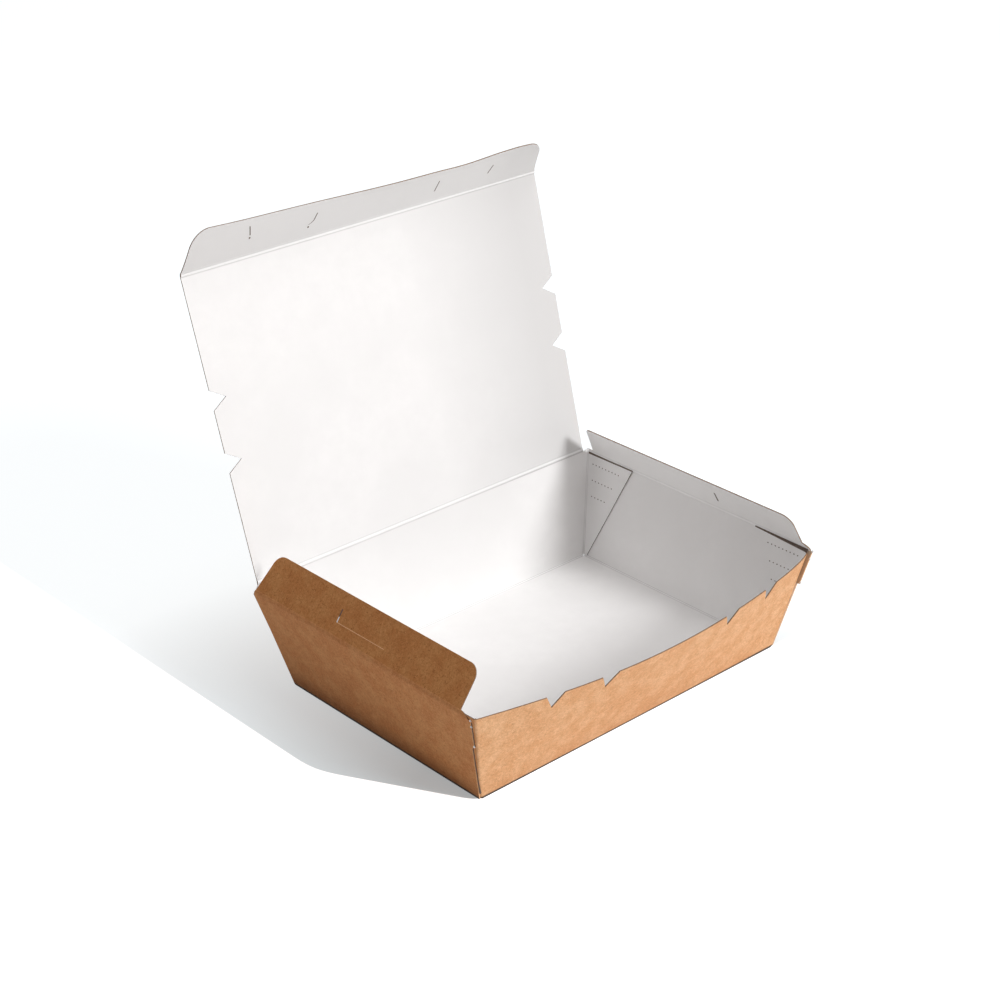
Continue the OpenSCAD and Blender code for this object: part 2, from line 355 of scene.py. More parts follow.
def mix(a, b, t):
    """The straight line from a to b: a where t is 0 and b where t is 1."""
    return a + (b - a) * t


def points(x, y, z):
    """Points from their coordinates, each an array or one number for all."""
    return np.stack(np.broadcast_arrays(x, y, z), -1)


def between(stations, counts):
    """Rows on the straight lines from each station to the next, counts[i] steps each. A station
    is a row of points. The result stacks all the rows."""
    rows = [stations[0][None]]
    for first, second, count in zip(stations, stations[1:], counts):
        t = (np.arange(1, count + 1) / count)[:, None, None]
        rows.append(mix(first[None], second[None], t))
    return np.concatenate(rows)


def rounded_end(v, foot, slope, width, radius):
    """Where a flap's end is at v from its crease: a line from foot that slopes in, then the arc
    that touches the line and the flap's outer edge at `width`."""
    centre_v = width - radius
    centre = foot - centre_v * math.tan(slope) - radius / math.cos(slope)
    over = np.clip(v - centre_v, 0, radius)
    arc = centre + np.sqrt(np.maximum(radius ** 2 - over ** 2, 0))
    line = foot - v * math.tan(slope)
    return np.where(v < centre_v + radius * math.sin(slope), line, arc)


def grown_rows(first, last, radius):
    """Heights from first to last: even steps, then steps by equal angles round a corner."""
    even = np.linspace(first, last - radius, FLAP_ROWS)
    angle = np.linspace(0, math.pi / 2, CORNER_STEPS + 1)[1:]
    return np.concatenate([even, last - radius + radius * np.sin(angle)])


def with_cuts(plain, centres, reach, places, losses):
    """The plain places further than `reach` from each cut's centre, with the cuts' own places
    sorted in, and how much of a cut's depth the edge loses at each."""
    plain = plain[np.min(np.abs(plain[:, None] - centres), 1) > reach]
    place = np.concatenate([plain, places])
    loss = np.concatenate([np.zeros(len(plain)), losses])
    order = np.argsort(place)
    return place[order], loss[order]


def curve(a, corner, b):
    """Rows of a quadratic curve from a to b, pulled towards the corner between them."""
    t = np.linspace(0, 1, FOLD_STEPS + 1)[:, None, None]
    return (1 - t) ** 2 * a[None] + 2 * t * (1 - t) * corner[None] + t * t * b[None]


def rounded(before, corner, after, reach):
    """Rows that round a fold: a quadratic curve from a point `reach` before the corner, pulled to
    the corner, to a point `reach` after it."""
    back = before - corner
    ahead = after - corner
    a = corner + back / np.linalg.norm(back, axis=-1, keepdims=True) * reach
    b = corner + ahead / np.linalg.norm(ahead, axis=-1, keepdims=True) * reach
    return curve(a, corner, b)


def bead(height, before, after):
    """Extra board on the inside over the rows of one fold: none on the rows before and after it,
    and the square of a half sine across it."""
    ridge = height * np.sin(np.linspace(0, math.pi, FOLD_STEPS + 1)) ** 2
    return np.concatenate([np.zeros(before), ridge, np.zeros(after)])


def crease_highlight_and_shade(before, after, strength=1.0):
    """The painted light of one fold's rows: 1 for a painted highlight on the ridge, towards -1 for
    painted shade in the grooves beside it, by a cosine times the root of a half sine."""
    t = np.linspace(0, 1, FOLD_STEPS + 1)
    tone = np.cos(GROOVE_TURNS * math.pi * (t - 0.5)) * np.sqrt(np.sin(math.pi * t).clip(0))
    return np.concatenate([np.zeros(before), strength * tone, np.zeros(after)])


def grid_normals(grid):
    """Unit normals of a grid of points: the cross product of its two directions."""
    normal = np.cross(np.gradient(grid, axis=0), np.gradient(grid, axis=1))
    return normal / np.linalg.norm(normal, axis=-1, keepdims=True)


def grid_faces(rows, columns):
    """The quads of a grid of rows by columns, as corner numbers."""
    a = (np.arange(rows - 1)[:, None] * columns + np.arange(columns - 1)[None]).ravel()
    return np.stack([a, a + columns, a + columns + 1, a + 1], 1)


def rim_loop(rows, columns):
    """The numbers of a grid's outer points, once round."""
    grid = np.arange(rows * columns).reshape(rows, columns)
    return np.concatenate([grid[0, :-1], grid[:-1, -1], grid[-1, :0:-1], grid[:0:-1, 0]])


class Shells:
    """Collects closed shells, most of them board with an inside, an outside and a rim."""

    def __init__(self):
        self.points, self.faces, self.slots, self.tones, self.count = [], [], [], [], 0

    def sheet(self, middle, thickness, inside, rims, outer=OUTSIDE, swell=None, bare=None,
              line=None):
        """Adds a thin shell round a grid of the board's middle: half the thickness to each side
        along the normals. `inside` is a point that the white face looks towards. `rims` are the
        slots of the rim along the first row, the last column, the last row and the first column,
        and `outer` the slot of the outer face, or of each quad in it. `swell` is extra board on
        the inside and `line` its painted highlight and shade along a crease, both by row. `bare`
        says which quads of the inside are uncoated."""
        rows, columns = middle.shape[:2]
        size = rows * columns
        normal = grid_normals(middle)
        to_inside = inside - middle.reshape(-1, 3).mean(0)
        turned = np.sum(normal.reshape(-1, 3).mean(0) * to_inside) < 0
        if turned:
            normal = -normal
        half = np.full((rows, 1, 1), thickness / 2)
        if swell is not None:
            half = half + swell[:, None, None]
        inner_points = (middle + normal * half).reshape(-1, 3)
        outer_points = (middle - normal * thickness / 2).reshape(-1, 3)
        quads = grid_faces(rows, columns)
        rim = rim_loop(rows, columns)
        following = np.roll(rim, -1)
        edge = np.stack([rim, rim + size, following + size, following], 1)
        if turned:
            quads = quads[:, ::-1]
        else:
            edge = edge[:, ::-1]
        inner = np.full(len(quads), INSIDE)
        if bare is not None:
            inner[bare.ravel()] = BARE
        edge_slots = np.repeat(rims, (columns - 1, rows - 1, columns - 1, rows - 1))
        tone = np.zeros((2, rows, columns))
        if line is not None:
            tone[0] = line[:, None]
        groups = [(quads, inner), (quads[:, ::-1] + size, outer), (edge, edge_slots)]
        self.add(np.concatenate([inner_points, outer_points]), groups, tone.ravel())

    def add(self, corners, groups, tone=None):
        """Adds corner points, groups of (quads, slot) with one slot for all or one each, and the
        points' painted highlight and shade along creases."""
        self.points.append(corners)
        self.tones.append(np.zeros(len(corners)) if tone is None else tone)
        for quads, slot in groups:
            self.faces.append(quads + self.count)
            self.slots.append(np.zeros(len(quads), int) + slot)
        self.count += len(corners)

    def build(self, name, materials):
        """Makes one object of all the shells, with the given materials by slot."""
        mesh = bpy.data.meshes.new(name)
        corners = np.concatenate(self.points)
        faces = np.concatenate(self.faces)
        mesh.from_pydata(corners.tolist(), [], faces.tolist())
        for material in materials:
            mesh.materials.append(material)
        mesh.polygons.foreach_set("material_index", np.concatenate(self.slots).astype(np.int32))
        # The crease attribute carries the painted highlight and shade along the creases.
        tone = mesh.attributes.new("crease", "FLOAT", "POINT")
        tone.data.foreach_set("value", np.concatenate(self.tones).astype(np.float32))
        mesh.shade_smooth()
        mesh.set_sharp_from_angle(angle=SHARP_ANGLE)
        mesh.validate()
        mesh.update()
        piece = bpy.data.objects.new(name, mesh)
        bpy.context.scene.collection.objects.link(piece)
        return piece


# The box's own geometry, from the sizes

class Box:
    """The creases and panels of the box, worked out from the sizes."""

    def __init__(self, size):
        self.s = size
        s = size
        self.half_x = s.base_length / 2
        self.half_y = s.base_depth / 2
        self.floor_z = s.board / 2
        self.glued = GLUED_SHARE * s.board
        self.tab_x = self.half_x - self.glued / math.cos(s.side_lean)
        self.side_x = self.half_x + s.side_slant * math.sin(s.side_lean)
        self.side_z = self.floor_z + s.side_slant * math.cos(s.side_lean)
        self.side_y = self.half_y + s.side_overhang
        rise = s.back_slant * math.cos(s.back_lean)
        self.back_top_half = self.tab_x + rise * math.tan(s.side_lean)
        self.lid_run = np.array([0.0, -math.cos(s.lid_angle), math.sin(s.lid_angle)])
        self.lid_in = np.array([0.0, -math.sin(s.lid_angle), -math.cos(s.lid_angle)])
        self.lid_foot = self.back_point(0.0, rise)
        self.tuck_foot = self.lid_foot + self.lid_run * s.lid_depth
        self.tuck_run = self.lid_run * math.cos(s.tuck_fold) + self.lid_in * math.sin(s.tuck_fold)
        self.tuck_in = self.lid_in * math.cos(s.tuck_fold) - self.lid_run * math.sin(s.tuck_fold)

    # Front and back wall

    def front_lean(self, u):
        """The front wall's lean at u from -1 to 1: a quadratic, with the right corner pulled."""
        s = self.s
        bow = s.front_lean - (s.front_lean - s.front_corner_lean) * u * u - s.front_sway * u
        return bow - s.corner_pull * np.maximum(u, 0) ** PULL_POWER

    def front_slant(self, u):
        """The front wall's height up its slope at u, a quadratic too."""
        s = self.s
        return s.front_slant + (s.front_corner_slant - s.front_slant) * u * u - s.front_rise * u

    def front_half(self, u, v):
        """Half length of the front wall at height v: it widens as the side walls lean."""
        return self.tab_x + v * np.cos(self.front_lean(u)) * math.tan(self.s.side_lean)

    def front_point(self, u, v):
        """A point of the front wall: u from -1 to 1 along it, v metres up its slope. Each
        section is straight and leans by a quadratic of u, and the wall widens with height."""
        lean = self.front_lean(u)
        x = u * self.front_half(u, v)
        return points(x, -self.half_y - v * np.sin(lean), self.floor_z + v * np.cos(lean))

    def front_u(self, x):
        """The place along the front wall, -1 to 1, of a distance from its middle."""
        return x / self.front_half(0.0, self.s.front_slant)

    def front_columns(self):
        """Places along the front wall, with the four V cuts' corners among them, and how much
        of a cut's depth each one loses."""
        s = self.s
        middles = np.array([-s.front_tongue_x, s.front_tongue_x])[:, None]
        centres = (middles + np.array([-1, 1]) * s.tongue_pitch / 2).ravel()
        centres[-1] += s.cut_shift
        places, losses = [], []
        for centre in centres:
            tip = math.copysign(2 * s.cut_skew / s.cut_width, centre)
            rising = np.linspace(-1, tip, CUT_STEPS + 1)
            k = np.concatenate([rising, np.linspace(tip, 1, CUT_STEPS + 1)[1:]])
            places.extend(self.front_u(centre + k * s.cut_width / 2))
            losses.extend(np.minimum((k + 1) / (tip + 1), (1 - k) / (1 - tip)))
        reach = self.front_u(s.cut_width * CUT_CLEAR)
        plain = np.linspace(-1, 1, FRONT_COLUMNS)
        return with_cuts(plain, self.front_u(centres), reach, places, losses)

    def back_point(self, x, rise):
        """A point of the back wall: x across, and its height over the floor."""
        return points(x, self.half_y + rise * math.tan(self.s.back_lean), self.floor_z + rise)

    def shoulder_drop(self, u):
        """How far the back wall's corner on the side of u is cut down."""
        return np.where(u < 0, self.s.shoulder_drop, self.s.right_shoulder_drop)

    # Lid

    def lid_half(self, y):
        """Half width of the lid at y from its crease."""
        return self.back_top_half - self.s.lid_inset + self.s.lid_flare * y / self.s.lid_depth

    def lid_rows(self):
        """Distances from the lid's crease, with the V cuts' corners among them, and how much of
        a cut's depth the edge loses at each."""
        s = self.s
        centres = s.lid_tongue_y + np.array([-1, 1]) * s.tongue_pitch / 2
        k = np.linspace(-1, 1, 2 * CUT_STEPS + 1)
        places = (centres[:, None] + k * s.cut_width / 2).ravel()
        plain = np.linspace(s.hinge_reach, s.lid_depth - s.hinge_reach, LID_ROWS)
        losses = np.tile(1 - np.abs(k), 2)
        return with_cuts(plain, centres, s.cut_width * CUT_CLEAR, places, losses)

    def lid_point(self, x, y, lift=0.0):
        """A point of the lid: x across, y up from its crease, lift towards its inside."""
        x, y, lift = np.broadcast_arrays(np.asarray(x, float), y, lift)
        place = self.lid_foot + y[..., None] * self.lid_run + lift[..., None] * self.lid_in
        return place + x[..., None] * RIGHT

    def tuck_point(self, x, v, lift=0.0):
        """A point of the lid's front flap: x across, v out from its crease, lift inwards."""
        x, v, lift = np.broadcast_arrays(np.asarray(x, float), v, lift)
        place = self.tuck_foot + v[..., None] * self.tuck_run + lift[..., None] * self.tuck_in
        return place + x[..., None] * RIGHT

    def tuck_surface(self, x, v):
        """The front flap as it really hangs, by the square of v: it twists, so that its right end
        folds further than its left, and its outer edge waves along x, draws in at its middle,
        and dips on the right and at its right end."""
        s = self.s
        along = x / self.lid_half(s.lid_depth)
        dip_way = (x - s.wave_length / 2) / s.tuck_radius / DIP_REACH
        twist = s.tuck_width * math.tan(s.tuck_twist) * along
        wave = s.tuck_wave * np.sin(x * math.tau / s.wave_length + WAVE_PHASE)
        hollow = s.tuck_hollow * (HOLLOW_SHARE * along * along - 1)
        dip = s.tuck_dip * np.exp(-dip_way ** 2)
        end = s.tuck_dip * np.clip((along - END_SHARE) / (1 - END_SHARE), 0, 1)
        growth = (v / s.tuck_width) ** 2
        return self.tuck_point(x, v + growth * (hollow - dip - end), growth * (twist + wave))

    def tuck_half(self, v):
        """Half width of the front flap at v from its crease: a sloping end, then from where they
        touch a circle of the corner's radius."""
        s = self.s
        foot = self.lid_half(s.lid_depth)
        return rounded_end(v, foot, s.side_lean - s.tuck_ease, s.tuck_width, s.tuck_radius)

    # Side walls and flaps

    def side_point(self, side, y, v, lift=0.0):
        """A point of a side wall: y along it, v up its slope, lift towards the inside of the box.
        side is 1 on the right and -1 on the left."""
        lean = self.s.side_lean
        y, v, lift = np.broadcast_arrays(np.asarray(y, float), v, lift)
        x = self.half_x + v * math.sin(lean) - lift * math.cos(lean)
        z = self.floor_z + v * math.cos(lean) + lift * math.sin(lean)
        return points(side * x, y, z)

    def side_up(self, side):
        """The unit way up a side wall."""
        return self.side_point(side, 0.0, 1.0) - self.side_point(side, 0.0, 0.0)

    def side_in(self, side):
        """The unit way from a side wall towards the inside of the box."""
        return self.side_point(side, 0.0, 0.0, 1.0) - self.side_point(side, 0.0, 0.0)

    def flap_lean(self, side):
        """A side flap's inward lean from upright."""
        return self.s.right_flap_lean if side > 0 else self.s.left_flap_lean

    def flap_point(self, side, y, v, lift=0.0):
        """A point of a side flap: y along it, v out from its crease, lift towards its inside."""
        lean = self.flap_lean(side)
        y, v, lift = np.broadcast_arrays(np.asarray(y, float), v, lift)
        x = self.side_x - v * math.sin(lean) - lift * math.cos(lean)
        z = self.side_z + v * math.cos(lean) - lift * math.sin(lean)
        return points(side * x, y, z)

    def flap_out(self, side):
        """The unit way from a side flap's crease to its free edge."""
        return self.flap_point(side, 0.0, 1.0) - self.flap_point(side, 0.0, 0.0)

    def flap_in(self, side):
        """The unit way from a side flap towards its inside."""
        return self.flap_point(side, 0.0, 0.0, 1.0) - self.flap_point(side, 0.0, 0.0)

    def flap_ends(self, v, side):
        """The flap's front and back ends at v from its crease: straight or sloping, then round."""
        s = self.s
        front = self.side_y - s.flap_front_inset
        back = self.side_y - s.flap_back_inset
        slope = math.atan(s.flap_back_taper / s.flap_width)
        back_radius = s.right_back_radius if side > 0 else s.flap_back_radius
        return (
            -rounded_end(v, front, 0.0, s.flap_width, s.flap_front_radius),
            rounded_end(v, back, slope, s.flap_width, back_radius),
        )


def box(context):
    """The box by the scene's sizes."""
    return Box(context.scene.takeaway_sizes)


# Materials

class Graph:
    """One node tree, with a short way to add each kind of node. Values that go in are numbers,
    colours or other nodes' outputs, and what comes back is the new node's output."""

    def __init__(self, tree):
        self.nodes, self.links = tree.nodes, tree.links

    def feed(self, socket, value):
        """Links an output to the socket, or sets a number, vector or colour on it."""
        if isinstance(value, bpy.types.NodeSocket):
            self.links.new(value, socket)
        elif socket.type == "RGBA":
            socket.default_value = (*value, 1.0)
        else:
            socket.default_value = value

    def add(self, kind, inputs=None, **settings):
        """A new node, with its settings and then its inputs, by name or number."""
        node = self.nodes.new("ShaderNode" + kind)
        for name, value in settings.items():
            setattr(node, name, value)
        for key, value in (inputs or {}).items():
            self.feed(node.inputs[key], value)
        return node

    def place(self):
        """The Object coordinates, which are metres in the box's own frame."""
        return self.add("TexCoord").outputs["Object"]

    def noise(self, vector, scale, detail, roughness, distortion=0.0):
        """Cloudy noise from 0 to 1."""
        return self.add("TexNoise", {
            "Vector": vector, "Scale": scale, "Detail": detail, "Roughness": roughness,
            "Distortion": distortion,
        }).outputs["Fac"]

    def span(self, value, low, high, to_low=0.0, to_high=1.0):
        """The straight line from to_low at low to to_high at high, level past both."""
        return self.add("MapRange", {
            "Value": value, "From Min": low, "From Max": high, "To Min": to_low,
            "To Max": to_high,
        }).outputs["Result"]

    def maths(self, operation, *values):
        """The result of an operation on two or three values."""
        return self.add("Math", dict(enumerate(values)), operation=operation).outputs[0]

    def vector_maths(self, operation, a, b):
        """The number that an operation on two vectors gives."""
        return self.add("VectorMath", {0: a, 1: b}, operation=operation).outputs["Value"]

    def blend(self, share, a, b):
        """The colour a where share is 0, b where it is 1, and their mix between."""
        node = self.add("Mix", data_type="RGBA")
        sockets = {socket.identifier: socket for socket in (*node.inputs, *node.outputs)}
        for name, value in (("Factor_Float", share), ("A_Color", a), ("B_Color", b)):
            self.feed(sockets[name], value)
        return sockets["Result_Color"]

    def layers(self, base, layers):
        """The base colour with each layer's colour blended over it by the layer's share."""
        for share, shade in layers:
            base = self.blend(share, base, shade)
        return base

    def fibre(self, place):
        """The outputs of the fibre group on the given coordinates."""
        return self.add("Group", {"Vector": place}, node_tree=fibre_group()).outputs


def scaled(rgb, factor):
    """The colour with each channel times the factor."""
    return tuple(c * factor for c in rgb)


def fibre_group():
    """Board fibres, made once: soft mottling, fine grain, and short dark and pale flecks. The
    flecks are noise stretched two ways, cut off below a level, the stronger of the two."""
    if "Board Fibre" in bpy.data.node_groups:
        return bpy.data.node_groups["Board Fibre"]
    group = bpy.data.node_groups.new("Board Fibre", "ShaderNodeTree")
    group.interface.new_socket(name="Vector", in_out="INPUT", socket_type="NodeSocketVector")
    for name in ("Mottle", "Grain", "Dark Flecks", "Pale Flecks"):
        group.interface.new_socket(name=name, in_out="OUTPUT", socket_type="NodeSocketFloat")
    graph = Graph(group)
    vector = group.nodes.new("NodeGroupInput").outputs["Vector"]
    result = group.nodes.new("NodeGroupOutput").inputs
    graph.feed(result["Mottle"], graph.noise(vector, *MOTTLE))
    graph.feed(result["Grain"], graph.noise(vector, *GRAIN))
    for name, scale, low, high in FLECKS:
        stretched = []
        for stretch in FLECK_STRETCHES:
            turned = (0.4 * stretch[0], 0.7, 0.3 * stretch[1])
            mapping = graph.add("Mapping", {
                "Vector": vector, "Scale": stretch, "Rotation": turned,
            }).outputs["Vector"]
            fibre = graph.noise(mapping, scale, *FLECK_NOISE)
            stretched.append(graph.span(fibre, low, high))
        graph.feed(result[name], graph.maths("MAXIMUM", *stretched))
    return group


def new_material(name):
    """The graph and the Principled shader of a new material."""
    material = bpy.data.materials.new(name)
    material.use_nodes = True
    return Graph(material.node_tree), material.node_tree.nodes["Principled BSDF"]


def finish_face(graph, shader, base, fibre, rough_by, finish):
    """Feeds a face's colour and its finish: roughness by the named output of the fibre group,
    relief as a bump by the grain, and shine."""
    rough, (strength, height), shine = finish
    relief = {"Strength": strength, "Distance": height, "Height": fibre["Grain"]}
    graph.feed(shader.inputs["Base Color"], base)
    graph.feed(shader.inputs["Roughness"], graph.span(fibre[rough_by], 0.3, 0.7, *rough))
    graph.feed(shader.inputs["Normal"], graph.add("Bump", relief).outputs["Normal"])
    graph.feed(shader.inputs["Specular IOR Level"], shine)


def kraft_material(name, tone, flecks, painted_foot_shade):
    """Uncoated kraft: warm brown with soft mottling, grain and fibre flecks, and a dull face.
    `tone` scales the colours, and below white it is painted shade. `flecks` is the strength of the
    dark ones, and the last argument is how far painted shade darkens the wall towards its foot. A
    dark line of painted contact shadow runs where the box stands."""
    colours = bpy.context.scene.takeaway_colours
    graph, shader = new_material(name)
    place = graph.place()
    fibre = graph.fibre(place)
    height = graph.add("SeparateXYZ", {0: place}).outputs["Z"]
    kraft, dark, pale = (
        tuple(c * t for c, t in zip(shade, tone))
        for shade in (colours.kraft, colours.kraft_dark, colours.kraft_pale)
    )
    base = graph.layers(kraft, (
        (graph.span(fibre["Mottle"], 0.40, 0.62, 0.0, 0.66), pale),
        (graph.span(fibre["Grain"], 0.36, 0.70, 0.0, 0.50), dark),
        (graph.maths("MULTIPLY", fibre["Dark Flecks"], flecks), dark),
        (graph.maths("MULTIPLY", fibre["Pale Flecks"], 0.6), pale),
        # Painted shade towards the wall's foot, and a painted contact shadow along the floor.
        (graph.span(height, *PAINTED_FOOT_SHADE, painted_foot_shade, 0.0), scaled(dark, 0.5)),
        (graph.span(height, *PAINTED_CONTACT_SHADOW, 1.0, 0.0), scaled(colours.slit, 0.5)),
    ))
    finish_face(graph, shader, base, fibre, "Grain", KRAFT_FINISH)


def white_material(name, lid):
    """Coated white inside: satin, almost even, with a trace of the board's mottling and slow
    clouds. Where the crease attribute is above 0 it paints a highlight on a crease's ridge, and
    below 0 it paints shade in its grooves. On the lid, painted shade darkens the white towards its
    right side and over its front flap."""
    white = tuple(bpy.context.scene.takeaway_colours.white)
    shade = scaled(white, MOTTLE_SHADE)
    graph, shader = new_material(name)
    place = graph.place()
    fibre = graph.fibre(place)
    cloud = graph.span(graph.noise(place, 21, 2, 0.5), 0.42, 0.62)
    crease = graph.add("Attribute", attribute_name="crease").outputs["Fac"]
    layers = [
        (graph.span(fibre["Mottle"], 0.35, 0.7, 0.0, 0.6), shade),
        (graph.maths("MULTIPLY", cloud, 0.8), shade),
    ]
    if lid:
        # Painted shade on the lid: the white darkens towards its right side and over its front
        # flap.
        axes = graph.add("SeparateXYZ", {0: place}).outputs
        right = graph.span(axes["X"], *LID_SHADE_X)
        flap = graph.span(axes["Z"], *LID_SHADE_Z, 0.0, 0.68)
        layers.append((graph.maths("MAXIMUM", right, flap), scaled(white, LID_PAINTED_SHADE)))
    # Painted highlight on a crease's ridge and painted shade in its grooves.
    layers.append((graph.span(crease, 0.0, 1.0), PURE_WHITE))
    layers.append((graph.span(crease, 0.0, -1.0, 0.0, 0.85), scaled(white, GROOVE_PAINTED_SHADE)))
    base = graph.layers(white, layers)
    finish_face(graph, shader, base, fibre, "Mottle", WHITE_FINISH)


def raw_material(name, first, second, most, roughness):
    """Raw fibre: the first colour, with up to `most` of the second where the grain is strong."""
    graph, shader = new_material(name)
    grain = graph.span(graph.fibre(graph.place())["Grain"], 0.35, 0.7, 0.0, most)
    graph.feed(shader.inputs["Base Color"], graph.blend(grain, first, second))
    graph.feed(shader.inputs["Roughness"], roughness)


def board_materials(outside="kraft_outside", inside="white_inside"):
    """The materials by slot, made once: outside, inside, cut edge with painted shade, the dark of
    a slit or prick with painted shade in slits and gaps, closed cut, side wall with painted shade,
    and bare strip."""
    names = (outside, inside, "cut_edge_shaded", "slit_dark_shade", "kerf_pale", "kraft_side_shaded", "bare_board")
    if names[EDGE] not in bpy.data.materials:
        colours = bpy.context.scene.takeaway_colours
        cut, slit, bare, pale, kraft = (
            tuple(rgb) for rgb in
            (colours.cut, colours.slit, colours.bare, colours.kraft_pale, colours.kraft)
        )
        kraft_material("kraft_outside", PURE_WHITE, flecks=0.35, painted_foot_shade=0.0)
        # Copies of the kraft with painted shade, for the side walls and the side flaps.
        kraft_material("kraft_side_shaded", colours.side_painted_shade, flecks=0.35, painted_foot_shade=0.55)
        kraft_material("kraft_flap_shaded", colours.flap_painted_shade, flecks=0.75, painted_foot_shade=0.0)
        white_material("white_inside", lid=False)
        # The lid's white, with painted shade towards its right side and over its front flap.
        white_material("white_lid_shaded", lid=True)
        # The cut edge, its raw brown darkened as painted shade.
        raw_material("cut_edge_shaded", cut, scaled(cut, 0.6), most=0.8, roughness=0.9)
        # The painted shade of slits and gaps, which the pricks share.
        raw_material("slit_dark_shade", slit, scaled(slit, 1.8), most=1.0, roughness=0.95)
        raw_material("kerf_pale", pale, kraft, most=0.7, roughness=0.9)
        raw_material("bare_board", bare, scaled(bare, 0.8), most=0.6, roughness=0.9)
    return [bpy.data.materials[name] for name in names]


# Bars, closed cuts and finished panels

def add_bar(shells, start, end, across, through, width, thickness, end_width=None, slot=SLIT):
    """A bar through the board from start to end, a trace thicker than the board. It is as wide
    as `width` at its start and `end_width`, where that is given, at its end."""
    start, end = np.asarray(start), np.asarray(end)
    near = np.asarray(across) * width / 2
    far = np.asarray(across) * (width if end_width is None else end_width) / 2
    deep = np.asarray(through) * (thickness / 2 + BAR_RISE)
    corners = np.array([
        start - near - deep, start + near - deep, end + far - deep, end - far - deep,
        start - near + deep, start + near + deep, end + far + deep, end - far + deep,
    ])
    quads = np.array([
        [0, 1, 2, 3], [7, 6, 5, 4], [0, 4, 5, 1], [1, 5, 6, 2], [2, 6, 7, 3], [3, 7, 4, 0]
    ])
    if np.dot(np.cross(corners[1] - corners[0], corners[3] - corners[0]), deep) > 0:
        quads = quads[:, ::-1]
    shells.add(corners, [(quads, slot)])


def add_kerf(shells, start, end, across, outward, width, thickness):
    """The pale line that a closed cut leaves on the kraft face: a flat bar on that face."""
    middle = np.asarray(outward) * (thickness / 2 - KERF_SINK)
    add_bar(shells, start + middle, end + middle, across, outward, width, KERF_DEPTH, slot=KERF)


def finish_panel(shells, node, materials):
    """Makes the piece that shows a node of the part: it rides on the node's body and stands for
    its solid."""
    piece = shells.build(node + "_board", materials)
    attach(piece, node)
    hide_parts(node)


# Operators, one for each piece or group of pieces

